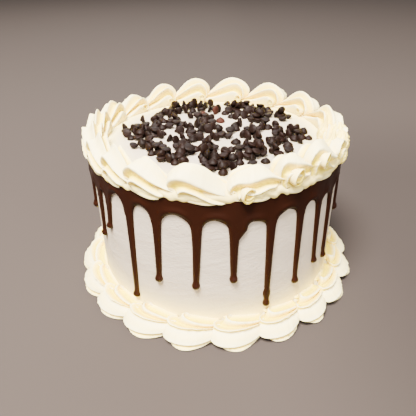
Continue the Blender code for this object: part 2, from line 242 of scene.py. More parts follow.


# Materials

# American buttercream piped through a star tip: dense, almost white, with a soft glow.
# Light that enters the thin lips leaves cooler, and light caught in the grooves leaves
# warm and yellow. This light and shade is painted into the colour by the groove attribute
# (0 on a lip, 1 in a groove): whiter lips, yellower and less bright grooves. Sugar
# grains are too fine to show and are drawn coarser.
look = {
    "lip": "EEE0A6", "face": "FBE07A", "groove": "E9D10C", "lipAt": 0.04, "faceAt": 0.25, "grooveAt": 0.8,
    "grainMm": 0.9, "grainBump": 0.12, "grainHeight": 0.4,
    "skin": {
        "Roughness": 0.48, "IOR": 1.45, "Specular IOR Level": 0.2, "Subsurface Weight": 0.25,
        "Subsurface Radius": (1.0, 0.97, 0.6), "Subsurface Scale": 1.6 * mm},
}
pipedCream, tree, shader = newMaterial("piped_buttercream")
depth = addNode(tree, "Attribute", {"attribute_name": "groove"})
# the ramp paints light and shade into the colour: whitest on the lips, yellow and less bright deep in the
# grooves
ramp = addNode(tree, "ValToRGB", inputs={"Fac": (depth, "Fac")})
stops = ramp.color_ramp.elements
stops[0].position, stops[1].position = look["lipAt"], look["faceAt"]
stops.new(look["grooveAt"])
for stop, part in zip(stops, ("lip", "face", "groove")):
    stop.color = toLinear(look[part])
spot = addNode(tree, "TexCoord")
grain = addNode(tree, "TexNoise", inputs={
    "Vector": (spot, "Object"), "Scale": 1000 / look["grainMm"], "Detail": 3.0, "Roughness": 0.6})
bump = addNode(tree, "Bump", inputs={
    "Height": (grain, "Fac"), "Strength": look["grainBump"], "Distance": look["grainHeight"] * mm})
setInputs(tree, shader, {"Base Color": (ramp, "Color"), "Normal": (bump, "Normal"), **look["skin"]})

# The same buttercream smoothed with a steel scraper: matt, faintly grainy, with short
# level drag marks and pinholes where air bubbles were cut open. The grain is drawn
# twice and the drag marks three times as coarse as they are, so that they show. Its
# colours are painted far dimmer than the piped cream's, as painted shade on a frosting
# that takes less light. The glow attribute (1 beside white piping) warms it with painted
# light thrown back by the piping.
look = {
    # face and shade: the cream's colour with painted shade laid in, far dimmer than the piping's
    "face": "B8A996", "shade": "AE9F8C", "warm": "F2E08E", "grainMm": 0.9, "dragMm": 3.0, "poreMm": 9.0,
    "flatter": 1.25, "pitFrom": 0.03, "pitTo": 0.075, "dragShare": 0.7, "pitShare": 0.8, "relief": 0.36,
    "reliefMm": 1.0,
    "skin": {
        "Roughness": 0.62, "IOR": 1.45, "Specular IOR Level": 0.3, "Subsurface Weight": 0.15,
        "Subsurface Radius": (1.0, 0.8, 0.5), "Subsurface Scale": 3 * mm},
}
smoothedCream, tree, shader = newMaterial("smoothed_buttercream")
spot = addNode(tree, "TexCoord")
flat = addNode(tree, "Mapping", inputs={
    "Vector": (spot, "Object"), "Scale": (1.0, 1.0, look["flatter"])})
grain = addNode(tree, "TexNoise", inputs={
    "Vector": (flat, "Vector"), "Scale": 1000 / look["grainMm"] / 2, "Detail": 3.0, "Roughness": 0.6})
drag = addNode(tree, "TexNoise", inputs={
    "Vector": (flat, "Vector"), "Scale": 1000 / look["dragMm"] / 3, "Detail": 3.0, "Distortion": 0.6})
pores = addNode(tree, "TexVoronoi", {"feature": "F1"}, {
    "Vector": (spot, "Object"), "Scale": 1000 / look["poreMm"], "Randomness": 1.0})
pit = addNode(tree, "MapRange", smoothly, {
    "Value": (pores, "Distance"), "From Min": look["pitFrom"], "From Max": look["pitTo"]})
dragged = addNode(tree, "Math", {"operation": "MULTIPLY_ADD"}, {
    0: (drag, "Fac"), 1: look["dragShare"], 2: (grain, "Fac")})
pitted = addNode(tree, "Math", {"operation": "MULTIPLY_ADD"}, {
    0: (pit, "Result"), 1: look["pitShare"], 2: (dragged, "Value")})
bump = addNode(tree, "Bump", inputs={
    "Height": (pitted, "Value"), "Strength": look["relief"], "Distance": look["reliefMm"] * mm})
tone = addNode(tree, "Mix", inColour, {
    mixShare: (drag, "Fac"), mixFirst: toLinear(look["face"]), mixSecond: toLinear(look["shade"])})
# painted light: warm light thrown back by the white piping, where the glow attribute is 1
glow = addNode(tree, "Attribute", {"attribute_name": "glow"})
warmed = addNode(tree, "Mix", inColour, {
    mixShare: (glow, "Fac"), mixFirst: (tone, mixResult), mixSecond: toLinear(look["warm"])})
setInputs(tree, shader, {"Base Color": (warmed, mixResult), "Normal": (bump, "Normal"), **look["skin"]})

# Dark chocolate ganache poured warm: a satin skin that gives long soft highlights, a
# very dark brown that turns reddish where it thins out at its edges (attribute thin).
look = {
    "deep": "1C0903", "thin": "220C03", "rippleMm": 14.0, "ripple": 0.25, "rippleHeight": 2.0,
    "skin": {"Roughness": 0.42, "IOR": 1.47, "Specular IOR Level": 0.12},
}
ganache, tree, shader = newMaterial("poured_ganache")
thin = addNode(tree, "Attribute", {"attribute_name": "thin"})
tone = addNode(tree, "Mix", inColour, {
    mixShare: (thin, "Fac"), mixFirst: toLinear(look["deep"]), mixSecond: toLinear(look["thin"])})
spot = addNode(tree, "TexCoord")
ripple = addNode(tree, "TexNoise", inputs={
    "Vector": (spot, "Object"), "Scale": 1000 / look["rippleMm"], "Detail": 2.0})
bump = addNode(tree, "Bump", inputs={
    "Height": (ripple, "Fac"), "Strength": look["ripple"], "Distance": look["rippleHeight"] * mm})
setInputs(tree, shader, {"Base Color": (tone, mixResult), "Normal": (bump, "Normal"), **look["skin"]})

# Moulded dark chocolate chips: a dull wax-like skin, nearly black, browner and scuffed
# where they rubbed together in the bag, each by its own amount (attribute shade).
look = {
    "dark": "0B0402", "scuffed": "160804", "scuffMm": 1.8, "scuff": 0.5, "scuffHeight": 0.8,
    "skin": {"Roughness": 0.55, "IOR": 1.47, "Specular IOR Level": 0.1},
}
chipChocolate, tree, shader = newMaterial("moulded_dark_chocolate")
spot = addNode(tree, "TexCoord")
scuff = addNode(tree, "TexNoise", inputs={
    "Vector": (spot, "Object"), "Scale": 1000 / look["scuffMm"], "Detail": 3.0})
each = addNode(tree, "Attribute", {"attribute_name": "shade"})
rubbed = addNode(tree, "Math", {"operation": "MULTIPLY"}, {0: (scuff, "Fac"), 1: (each, "Fac")})
tone = addNode(tree, "Mix", inColour, {
    mixShare: (rubbed, "Value"), mixFirst: toLinear(look["dark"]), mixSecond: toLinear(look["scuffed"])})
bump = addNode(tree, "Bump", inputs={
    "Height": (scuff, "Fac"), "Strength": look["scuff"], "Distance": look["scuffHeight"] * mm})
setInputs(tree, shader, {"Base Color": (tone, mixResult), "Normal": (bump, "Normal"), **look["skin"]})

# Chips whose cocoa butter has bloomed: dusty reddish brown and quite matt. The dust is
# drawn coarser than it is, as are the scuffs above.
look = {
    "dusty": "381C13", "brown": "2A130D", "dustMm": 1.6,
    "skin": {"Roughness": 0.68, "Specular IOR Level": 0.1},
}
bloomedChocolate, tree, shader = newMaterial("bloomed_dark_chocolate")
spot = addNode(tree, "TexCoord")
dust = addNode(tree, "TexNoise", inputs={
    "Vector": (spot, "Object"), "Scale": 1000 / look["dustMm"], "Detail": 4.0})
tone = addNode(tree, "Mix", inColour, {
    mixShare: (dust, "Fac"), mixFirst: toLinear(look["dusty"]), mixSecond: toLinear(look["brown"])})
setInputs(tree, shader, {"Base Color": (tone, mixResult), **look["skin"]})

print("materials made")


# Piped shells: every ridge of the star tip leaves a rail along the shell. A rail is listed
# as (share of the pitch, radius, level) from under the head to under the next head.

# what both rings share: how soon a shell rises to its full lift, the stretches (start,
# length) over which its lips hand over to the next shell and its crest is kept up, the
# power of the push between rails, and the half width of a drawn-up point
shellForm = {"rise": 7, "handOver": (0.25, 0.6), "keepUp": (0.3, 0.5), "pushPower": 1.6, "pointWidth": 0.16}


def alongRails(rails, rows):
    # cubic Hermite curve through each rail's points, tangents from their neighbours
    rails = np.asarray(rails, dtype=float)
    count = rails.shape[1]
    tangents = np.gradient(rails, axis=1)
    s = np.linspace(0, count - 1, rows)
    k = np.minimum(s.astype(int), count - 2)
    u = (s - k)[None, :, None]
    p0, p1, m0, m1 = rails[:, k], rails[:, k + 1], tangents[:, k], tangents[:, k + 1]
    curve = (2 * u**3 - 3 * u**2 + 1) * p0 + (u**3 - 2 * u**2 + u) * m0
    return curve + (3 * u**2 - 2 * u**3) * p1 + (u**3 - u**2) * m1


def shellRails(ring, lifts, nextLift, seed):
    # Rails wander by slow waves and are roughened by fine ones. Crests rise by their own
    # lift and lips by one that runs from this shell's to the next one's, so that a lip
    # flows into the next lip. Each ridge is drawn up at its top by
    # point * exp(-((share - apex) / width) ^ 2). Then the shell rolls about its core and
    # grows or shrinks a little, as far as each rail is free.
    draw = np.random.default_rng(seed)
    crestLift, lipLift, ruffle, _, tailLift, point = lifts
    rails = alongRails(ring["rails"], ring["rows"])
    s = np.linspace(0, 1, ring["rows"])
    rising = np.clip(s * shellForm["rise"], 0, 1) ** 0.5
    lipHere = lipLift + (nextLift - lipLift) * eased(rails[1, :, 0], *shellForm["handOver"])
    crestHere = crestLift * rising + tailLift * eased(rails[0, :, 0], *shellForm["keepUp"])
    roll = np.radians(ring["rollSpread"] * draw.normal())
    for k, (rail, lift) in enumerate(zip(rails, ring["free"])):
        free, lifted, follows = abs(lift), max(lift, 0), ring["followsCrest"][k]
        wander = ring["wander"] * free
        fine = waves(s * 2 * np.pi, seed * 57 + k, 14, 60, 16) * ring["rough"] * free
        rail[:, 1] += waves(s * 3.1, seed * 31 + k, 1, 4, 4) * wander + fine
        rail[:, 2] += 0.7 * waves(s * 3.1, seed * 43 + k, 1, 4, 4) * wander + fine
        rail[:, 2] += crestHere * follows if follows else lipHere * rising * lifted
        rail[:, 1] += ruffle * lifted * waves(s * 6.3, seed * 7 + k, 4, 11, 5) * (k > 0)
        rail[:, 0] += 0.02 * draw.normal() * free
        apex = rail[np.argmax(rail[:, 2]), 0]
        drawnUp = np.exp(-((rail[:, 0] - apex) / shellForm["pointWidth"]) ** 2)
        rail[:, 2] += point * ring["pointed"][k] * drawnUp
    free = np.minimum(np.abs(ring["free"]), 1)[:, None]
    grown = 1 + ring["sizeSpread"] * draw.normal() * free
    outward, upward = ring["core"]
    across, above = rails[..., 1] - outward, rails[..., 2] - upward
    cosine, sine = np.cos(roll * free), np.sin(roll * free)
    rails[..., 1] = outward + (across * cosine + above * sine) * grown
    rails[..., 2] = upward + (above * cosine - across * sine) * grown
    return rails


def pipedShell(ring, nose, pitch, lifts, nextLift, seed):
    # Between two rails the surface is their straight blend, pushed towards the core of the
    # shell by depth * sin(pi * v ^ skew) ^ 1.6, v going from rail to rail and crowding at the
    # rails of a groove. A negative depth swells it. The ridges are then rounded by averaging
    # neighbours across the shell.
    rails = shellRails(ring, lifts, nextLift, seed)
    s = np.linspace(0, 1, ring["rows"])
    fade = np.clip(np.minimum(s * 9, (1.04 - s) * 6), 0, 1)[:, None, None]
    depths = list(ring["depth"])
    if lifts[3] is not None:
        depths[0] = lifts[3]
    sections, tints = [], []
    for k, depth in enumerate(depths):
        here, there = rails[k][:, None, :], rails[(k + 1) % len(rails)][:, None, :]
        v = np.linspace(0, 1, ring["columns"][k], endpoint=False)[None, :, None]
        v = 0.25 - 0.25 * np.cos(np.pi * v) + v / 2 if depth > 0 else v
        blend = here * (1 - v) + there * v
        inward = np.array([0, *ring["core"]]) - blend
        inward[..., 0] = 0
        inward /= np.linalg.norm(inward[..., 1:], axis=-1, keepdims=True) + 1e-6
        push = np.sin(np.pi * v ** ring["skew"][k]) ** shellForm["pushPower"]
        sections.append(blend + inward * depth * push * fade)
        # painted shade: the tint is nil on the rails and grows into each groove, as far as that groove's
        # yellow allows
        tints.append(np.broadcast_to(ring["yellow"][k] * push[..., 0], blend.shape[:2]))
    shape = np.concatenate(sections, axis=1)
    tint = np.concatenate(tints, axis=1)
    for _ in range(ring["rounding"]):
        shape = (np.roll(shape, 1, axis=1) + 2 * shape + np.roll(shape, -1, axis=1)) / 4
    ends = [end.mean(axis=1, keepdims=True).repeat(shape.shape[1], axis=1) for end in (shape[:1], shape[-1:])]
    shape = np.concatenate([ends[0], shape, ends[1]])
    tint = np.concatenate([tint[:1], tint, tint[-1:]])
    level = np.maximum(shape[..., 2], ring["floor"])
    return onCircle(shape[..., 1], np.radians(nose + pitch * shape[..., 0]), level), tint


def ringOfShells(ring, noses, seed):
    grids, tints = [], []
    for i, (nose, *lifts) in enumerate(noses):
        following = noses[(i + 1) % len(noses)]
        pitch = (following[0] - nose) % 360
        points, tint = pipedShell(ring, nose, pitch, lifts, following[2], seed + i)
        grids.append((points, False, True))
        tints.append(tint)
    return grids, tints


# Top border: stands on the rim and hangs a little over the side. Its rails are the crest,
# the upper and lower outer lips, two rails under them, one on the inner foot, and the
# lower and upper inner lips. Each has how free it is (negative where it takes no lift of
# the lips), the columns to the next rail, depth and skew of the groove between them, how
# much painted shade (yellow) that groove gets, how far it goes with the crest's lift and how far it is
# pointed.
topRing = {
    "rails": [
        [(0.08, 97, 121), (-0.04, 97, 125), (-0.06, 97, 130), (0.04, 96.8, 135.5), (0.2, 96.6, 139),
         (0.4, 96.6, 140.2), (0.58, 96.6, 138), (0.74, 96.6, 133.4), (0.9, 97, 127.5), (1.1, 98, 122)],
        [(0.07, 103, 122.5), (0.0, 104.6, 124.8), (-0.005, 105.4, 128), (0.05, 105.6, 131),
         (0.17, 105.7, 132.7), (0.35, 105.7, 131.3), (0.55, 105.7, 128.6), (0.76, 105.6, 125.7),
         (0.96, 105.2, 123), (1.15, 103.5, 120)],
        [(0.19, 103.5, 117.5), (0.165, 105.6, 119.5), (0.17, 106.6, 122), (0.215, 106.9, 124),
         (0.29, 106.9, 124.4), (0.42, 106.8, 122.6), (0.58, 106.6, 120), (0.74, 106.2, 118), (0.88, 105, 117),
         (1.0, 101.5, 118)],
        [(0.1, 102.6, 116.5), (0.06, 103.4, 116.4), (0.07, 103.9, 116), (0.12, 104.2, 115.6),
         (0.22, 104.3, 115), (0.38, 104.6, 113.9), (0.55, 104.7, 113.1), (0.7, 104.3, 113.2),
         (0.82, 103, 114.4), (0.92, 100.8, 116.5)],
        [(0.12, 100.6, 115), (0.09, 100.2, 114.6), (0.1, 99.6, 114.2), (0.15, 99.4, 114), (0.25, 99.4, 114),
         (0.4, 99.4, 114), (0.57, 99.4, 114), (0.76, 99.4, 114), (0.95, 99.6, 114), (1.14, 100, 114)],
        [(0.14, 89.5, 119.8), (0.1, 88.6, 119.7), (0.11, 87.8, 119.6), (0.16, 87.1, 119.6),
         (0.26, 86.7, 119.6), (0.4, 86.7, 119.6), (0.58, 87, 119.6), (0.76, 87.4, 119.6), (0.95, 88.1, 119.6),
         (1.15, 89.6, 119.6)],
        [(0.27, 89, 120.3), (0.2, 87.8, 121), (0.16, 87, 123), (0.17, 86.8, 126), (0.23, 86.9, 128.6),
         (0.33, 87.1, 129.3), (0.5, 87.4, 127), (0.7, 87.8, 124.4), (0.9, 88.4, 122.4), (1.12, 89.8, 121)],
        [(0.13, 89.5, 120.6), (0.05, 88.6, 122.5), (0.01, 88.4, 126.5), (0.03, 88.8, 131.5),
         (0.11, 89.4, 135.4), (0.24, 89.8, 137), (0.42, 90, 135.6), (0.63, 90.2, 132), (0.84, 90.6, 128),
         (1.1, 91.8, 122.5)],
    ],
    "free": (0.6, 1.0, 1.0, -0.7, 0.0, 0.0, -1.0, -1.0),
    "columns": (14, 14, 10, 4, 3, 5, 15, 14),
    "depth": (-0.9, 5.2, 2.4, -0.5, 0.0, 0.7, 6.2, 4.2),
    "skew": (0.6, 0.75, 0.8, 1.0, 1.0, 1.0, 1.15, 1.0),
    "yellow": (0.1, 1.0, 0.6, 0.1, 0.0, 0.3, 1.0, 0.6),
    "followsCrest": (1, 0, 0, 0, 0, 0, 0.5, 0.85),
    "pointed": (1.0, 0.9, 0.5, 0, 0, 0, 0.6, 1.0),
    "core": (97.0, 121.0), "rows": 56, "rounding": 3, "floor": 100.0,
    "wander": 0.35, "rough": 0.17, "sizeSpread": 0.02, "rollSpread": 2.5,
}
# azimuth of each nose, lift of its crest and of its outer lips, ruffle of its lips, depth
# of the hollow between its crest and its upper lip, how much its crest is kept up towards
# its tail, and how far its ridges are drawn up into points
topNoses = [
    (-172.4, 0, 0, 0.1, 3.2, 0, 2.6), (-156.4, 0, 0, 0.1, 2.8, 0, 3.0),
    (-140.0, -0.5, 0, 0.1, 1.6, 0, 2.0), (-125.9, -2.8, 0, 0.1, 0.3, 1, 1.0),
    (-107.8, -0.4, 0, 0.1, -0.6, 0, 0), (-85.8, -6.0, -3.6, 0.12, -0.6, 8.0, 0),
    (-67.2, -0.5, 5.6, 0.12, -0.6, 3.0, 0), (-52.6, 2.6, 7.6, 0.12, -0.5, 1.0, 0),
    (-33.0, -6.0, 2.0, 0.2, 0.5, 0, 0), (-16.0, -3.0, 0, 0.2, 1.5, 0, 1.0),
    (-1.5, -1.2, 0, 0.1, 2.0, 0, 0.5), (24.0, 0.4, 0, 0.1, 1.5, 0, 0), (47.0, 0.8, 0, 0.1, 0.5, 0, 0),
    (69.5, 2.2, 0, 0.1, 0.5, 0, 0), (93.0, 2.4, 0, 0.1, 0.5, 0, 0), (113.5, -0.4, 0, 0.1, 1.0, 0, 0),
    (133.5, -4.0, 0, 0.1, 2.2, 0, 0.5), (152.0, -2.0, 0, 0.1, 3.0, 0, 1.5),
    (170.0, -1.0, 0, 0.1, 3.2, 0, 2.6),
]
topGrids, topTints = ringOfShells(topRing, topNoses, 40)

# A low bed of cream under the shells, squeezed out unevenly over the ganache: an oval
# section carried round the rim, swollen by fine waves
bed = {
    "radius": 98.0, "level": 117.6, "halfWidth": 6.4, "halfHeight": 5.6, "ragged": 0.55, "around": 720,
    "columns": 18, "yellow": 0.2,
}
bedAngle = fullTurn(bed["around"])[:, None]
bedTurn = fullTurn(bed["columns"])[None, :]
swell = 1 + bed["ragged"] / bed["halfWidth"] * waves(bedAngle + 0.03 * np.sin(3 * bedTurn), 9, 14, 84, 12)
bedRadius = bed["radius"] + bed["halfWidth"] * swell * np.cos(bedTurn)
bedLevel = bed["level"] + bed["halfHeight"] * swell * np.sin(bedTurn)
bedPoints = onCircle(bedRadius, bedAngle, bedLevel)
topGrids.append((bedPoints, True, True))
topTints.append(np.full(bedPoints.shape[:2], bed["yellow"]))


# Rolled ends of the lips: where the spiral starts, its turns, how much it tightens, half
# the thickness of its wall, how narrow it begins, its unevenness and how much it sags
scroll = {
    "start": -130.0, "turns": 1.25, "tightens": 0.45, "wall": 0.8, "narrow": 0.45, "uneven": 0.12, "sag": 0.8,
    "columns": 36, "rows": 20, "yellowOut": 0.15, "yellowIn": 0.7,
}


def creamScroll(azimuth, level, radius, wide, lengthMm, yaw):
    # A lip rolled up: a spiral whose radius shrinks as wide * (1 - 0.45 u), drawn along a
    # straight axis that turns outward by yaw and opens towards its end as
    # 0.45 + 0.55 v ^ 0.6. The wall is two such surfaces that meet at both edges.
    u = np.linspace(0, 1, scroll["columns"])
    theta = np.radians(scroll["start"]) + u * 2 * np.pi * scroll["turns"]
    reach = wide * (1 - scroll["tightens"] * u)
    wall = scroll["wall"] * np.sin(np.pi * np.clip(np.minimum(u, 1 - u) * 8 + 0.06, 0, 0.5))
    loopAngle = np.concatenate([theta, theta[::-1]])[None, :]
    loopReach = np.concatenate([reach + wall, (reach - wall)[::-1]])[None, :]
    v = np.linspace(0, 1, scroll["rows"])[:, None]
    wobble = scroll["uneven"] * waves(3 * v + loopAngle * 0.5, int(azimuth) % 360, 1, 4, 4)
    across = (loopReach + wobble) * (scroll["narrow"] + (1 - scroll["narrow"]) * v ** 0.6)
    outward, upward = across * np.cos(loopAngle), across * np.sin(loopAngle)
    mouth = 0.1 * upward + scroll["uneven"] * waves(loopAngle, int(azimuth) % 97, 2, 5, 3)
    along = (v - 1) * lengthMm + mouth * v
    turned = np.radians(yaw)
    out = radius + outward * np.cos(turned) + along * np.sin(turned)
    travel = along * np.cos(turned) - outward * np.sin(turned)
    points = onCircle(out, np.radians(azimuth) + travel / radius, level + upward - scroll["sag"] * (1 - v))
    middle = (points + points[:, ::-1]) / 2
    points = np.concatenate([middle[:1], points, middle[-1:]])
    # painted shade: the inside of the roll gets a yellower tint than its outside
    tint = np.repeat([scroll["yellowOut"], scroll["yellowIn"]], scroll["columns"])
    return points, np.broadcast_to(tint, points.shape[:2])


# azimuth and level of the open end, its distance out, spiral radius, length and yaw
creamScrolls = [
    (-79.0, 120.6, 107.4, 5.6, 11.0, 66.0), (-60.2, 127.2, 108.2, 6.6, 12.0, 70.0),
    (-45.8, 131.2, 107.6, 6.0, 11.0, 74.0),
]
# the inner lips of the shells at the back end in smaller curls that open inwards, a few
# degrees past each nose
backNoses = (24.0, 47.0, 69.5, 93.0, 113.5, 133.5)
backCurl = {"past": 3.8, "rest": (125.2, 86.2, 3.3, 5.0, -84.0)}
creamScrolls += [(nose + backCurl["past"], *backCurl["rest"]) for nose in backNoses]


# Where the piping began and ended: lumps with ribs left by the tip's teeth, how deep the
# ribs and the two kinds of bumps are, and how narrow and how far out the point leans
lump = {
    "ribs": 7, "twist": 2.5, "ribDepth": 0.05, "bumps": 0.05, "folds": 0.07, "pointWidth": 0.25, "lean": 0.1,
    "columns": 64, "rows": 34, "yellowOut": 0.25, "yellowIn": 0.35,
}


def roughClump(azimuth, radius, level, size, seed):
    # A ball whose reach is 1 + 0.05 cos(7 theta + 2.5 phi) plus fine waves, drawn up into
    # a point at its pole by exp(-(phi / 0.25) ^ 2).
    theta = fullTurn(lump["columns"])[None, :]
    phi = np.linspace(0, np.pi, lump["rows"])[:, None]
    ribs = np.cos(lump["ribs"] * theta + lump["twist"] * phi)
    bumps = lump["bumps"] * waves(theta + 2 * np.sin(phi * 2), seed, 3, 13, 8)
    folds = lump["folds"] * waves(3 * phi + theta * 2, seed + 1, 1, 6, 5)
    reach = 1 + (bumps + folds + lump["ribDepth"] * ribs) * np.sin(phi) ** 0.8
    tip = np.exp(-(phi / lump["pointWidth"]) ** 2)
    halfWide, halfLong, halfTall, pull = size
    out = radius + halfWide * reach * np.sin(phi) * np.cos(theta) + lump["lean"] * halfTall * tip
    along = halfLong * reach * np.sin(phi) * np.sin(theta)
    height = level + halfTall * (reach * np.cos(phi) + pull * tip)
    cosine, sine = np.cos(np.radians(azimuth)), np.sin(np.radians(azimuth))
    points = np.stack([out * cosine - along * sine, out * sine + along * cosine, height], axis=-1)
    # painted shade: the hollows between the ribs get a yellower tint
    tint = lump["yellowOut"] + lump["yellowIn"] * np.clip(-ribs, 0, 1)
    return points, np.broadcast_to(tint, points.shape[:2])


# azimuth, distance out, level, half sizes across, along and up with the pull of the tip,
# and a seed
roughClumps = [
    (-27.5, 96.0, 124.0, (8.0, 8.5, 9.0, 0.75), 5), (-19.5, 100.5, 124.5, (6.5, 8.0, 10.0, 0.12), 6),
    (-12.0, 98.0, 124.0, (8.0, 7.5, 11.5, 0.1), 8), (-25.0, 103.0, 119.0, (4.5, 7.0, 6.0, 0.1), 9),
    (-10.0, 88.0, 125.0, (5.5, 5.0, 7.0, 1.45), 12),
]
extras = [creamScroll(*place) for place in creamScrolls] + [roughClump(*place) for place in roughClumps]
for points, tint in extras:
    topGrids.append((points, False, True))
    topTints.append(tint)
topPiping = meshFromGrids("top_piping", topGrids, {"groove": topTints})
finishPiece(topPiping, pipedCream, ["top_border"])
print("top border piped:", len(topPiping.data.polygons), "faces")

# Foot border: lies on its side against the foot of the cake. Its rails are the edges of a
# wide petal and of a thin one under it, two rails on the ground and at the cake's foot,
# one against the side, a small hooked ridge, and the rim and root of a rounded ridge.
footRing = {
    "rails": [
        [(0.1, 112, 7.5), (0.02, 114.5, 6.5), (-0.01, 117.2, 5.8), (0.05, 120.5, 5.2), (0.18, 123, 5),
         (0.38, 124.2, 5), (0.6, 123.6, 5), (0.8, 121.2, 5.2), (1.0, 117.5, 6), (1.18, 113, 7)],
        [(0.25, 114, 2.5), (0.2, 118, 2), (0.24, 121.2, 1.5), (0.32, 123.4, 1.2), (0.44, 124.8, 1),
         (0.58, 124.6, 0.9), (0.7, 122.8, 0.9), (0.84, 120, 1.2), (0.98, 116.6, 2), (1.15, 112, 3)],
        [(0.2, 110, 0.6), (0.12, 111, 0.5), (0.12, 112.5, 0.4), (0.18, 114.5, 0.3), (0.32, 116, 0.3),
         (0.5, 116.5, 0.3), (0.68, 115.5, 0.3), (0.84, 113.8, 0.4), (0.98, 111.5, 0.5), (1.15, 108, 0.6)],
        [(0.2, 102, 3), (0.15, 100.6, 3), (0.15, 99.8, 3), (0.2, 99.8, 3), (0.32, 99.8, 3), (0.5, 99.8, 3),
         (0.68, 99.8, 3), (0.84, 99.8, 3), (0.98, 100, 3), (1.15, 101, 3)],
        [(0.34, 101.8, 13.6), (0.28, 101, 14), (0.3, 100.8, 14.6), (0.36, 100.8, 15.2), (0.46, 100.8, 15.6),
         (0.6, 100.8, 15.4), (0.75, 100.8, 14.8), (0.9, 100.8, 14), (1.05, 100.8, 13.2), (1.2, 101, 12.4)],
        [(0.52, 102.6, 14.4), (0.45, 102.8, 17.2), (0.38, 104.6, 18.4), (0.37, 107.2, 18), (0.45, 109.6, 17),
         (0.6, 110.8, 16.2), (0.78, 111.2, 15.4), (0.95, 111, 14.6), (1.1, 110, 13.4), (1.22, 108, 12)],
        [(0.26, 104.8, 13.2), (0.15, 106.2, 15.2), (0.06, 109.6, 15.8), (0.08, 113.4, 15.2),
         (0.22, 116, 14.8), (0.42, 117, 14.7), (0.64, 116.6, 14.6), (0.85, 115.2, 14.2), (1.04, 112.8, 13.2),
         (1.2, 109.5, 11.6)],
        [(0.2, 106, 10.5), (0.1, 108.4, 11), (0.05, 111, 11.2), (0.09, 113.2, 11.2), (0.23, 114.8, 11.1),
         (0.43, 115.6, 11), (0.65, 115.2, 11), (0.85, 114, 10.8), (1.03, 112, 10.2), (1.19, 109.5, 9)],
    ],
    "free": (1.0, -1.0, 0.0, 0.0, -0.5, -1.0, 1.0, 0.5),
    "columns": (9, 4, 3, 3, 9, 14, 8, 12),
    "depth": (4.4, 0.3, 0.0, 0.0, 3.2, 5.4, 1.5, -1.1),
    "skew": (0.8, 1.0, 1.0, 1.0, 0.8, 1.15, 0.8, 0.8),
    "yellow": (0.9, 0.2, 0.0, 0.0, 1.0, 1.0, 0.8, 0.12),
    "followsCrest": (0,) * 8,
    "pointed": (0,) * 8,
    "core": (107.0, 7.0), "rows": 50, "rounding": 1, "floor": 0.15,
    "wander": 0.35, "rough": 0.24, "sizeSpread": 0.012, "rollSpread": 1.5,
}
# all its shells are alike, with no lift and only a little ruffle
footNoses = [(azimuth, 0, 0, 0.2, None, 0, 0) for azimuth in (
    -164.5, -146.0, -128.9, -110.9, -92.9, -75.0, -57.6, -41.5, -24.0, -6.0,
    12.0, 30.0, 48.0, 66.0, 84.0, 102.0, 120.0, 138.0, 156.5, 175.5)]
footGrids, footTints = ringOfShells(footRing, footNoses, 70)
footPiping = meshFromGrids("foot_piping", footGrids, {"groove": footTints})
finishPiece(footPiping, pipedCream, ["bottom_border"])
print("foot border piped:", len(footPiping.data.polygons), "faces")


# Frosted cake: a profile turned round the axis, with a rounded top edge and a side that is
# a little out of true. The glow, painted light thrown back by the white piping, reaches this
# far from the piping at the foot and on top.
body = {
    "radius": 101.4, "height": 120.0, "edge": 4.0, "uneven": 0.12, "around": 480, "down": 70, "topRings": 29,
    "edgeRings": 7, "footEdge": 0.4, "glowLevel": 14.0, "glowUp": 9.0, "glowRadius": 86.0, "glowIn": 8.0,
}
cakeAngle = fullTurn(body["around"])[:, None]
edgeTurn = np.radians(np.linspace(90, 0, body["edgeRings"]))
flatTop, sideTop = body["radius"] - body["edge"], body["height"] - body["edge"]
profileR = np.concatenate([
    np.linspace(0.0, flatTop, body["topRings"], endpoint=False),
    flatTop + body["edge"] * np.cos(edgeTurn),
    np.full(body["down"], body["radius"]),
    [body["radius"] - body["footEdge"], body["radius"] / 2, 0.0]])[None, :]
profileZ = np.concatenate([
    np.full(body["topRings"], body["height"]),
    sideTop + body["edge"] * np.sin(edgeTurn),
    np.linspace(sideTop, body["footEdge"], body["down"] + 1)[1:],
    [0.0, 0.0, 0.0]])[None, :]
uneven = waves(cakeAngle + profileZ / 30, 3, 2, 9) + 0.7 * waves(2 * cakeAngle - profileZ / 11, 4, 3, 17)
outerShare = np.clip((profileR - 60) / 30, 0, 1)
points = onCircle(profileR + body["uneven"] * uneven * outerShare, cakeAngle, profileZ)
onSide, onTop = profileR > 90, profileZ > body["height"] - 0.1
# painted light: the frosting is warmed beside the piping at the foot and on top, as light thrown back by it
glowFoot = onSide * np.exp(-np.maximum(profileZ - body["glowLevel"], 0) / body["glowUp"])
glowTop = onTop * np.exp(-np.maximum(body["glowRadius"] - profileR, 0) / body["glowIn"])
glow = np.maximum(glowFoot, glowTop) * np.ones_like(cakeAngle)
frosting = meshFromGrids("frosted_cake", [(points, True, False)], {"glow": [glow]})
finishPiece(frosting, smoothedCream, ["cake"])
print("cake frosted:", len(frosting.data.polygons), "faces")


# Ganache collar and drips. The funnel is the height over which an arch narrows to a stem,
# and square is the power of its curve. Crowd, slide and joined are powers too: of the rows
# towards the drop, of a drip that leaves its line, and of a stem's joint with a ball. Stems
# are stemExtra thicker than the band, and a drop bulges by dropBulge over dropSpread.
collar = {
    "inner": 101.75, "top": 119.4, "archTop": 101.0, "archSpread": 3.0, "funnel": 9.2, "square": 2.15,
    "thick": 1.7, "stemExtra": 0.3, "dropBulge": 1.6, "dropSpread": 3.0, "edgeRound": 2.4, "bandRound": 9.0,
    "rim": 0.8, "rimFrom": 3.4, "rimWidth": 1.9, "flow": 0.25, "columns": 21, "bandRows": 10,
    "crowd": 1.7, "slide": 1.4, "joined": 6, "ballFlat": 0.8, "flareOver": 8.0, "hangFrom": 0.6,
    "hangOver": 12.0,
    "funnelRows": 20, "stemRows": 18, "tipRows": 10,
    # level of the arch on the left of each front drip
    "frontArches": [101.0, 101.0, 106.5, 104.5, 103.2, 100.6, 97.5, 101.5, 100.5, 98.0],
}
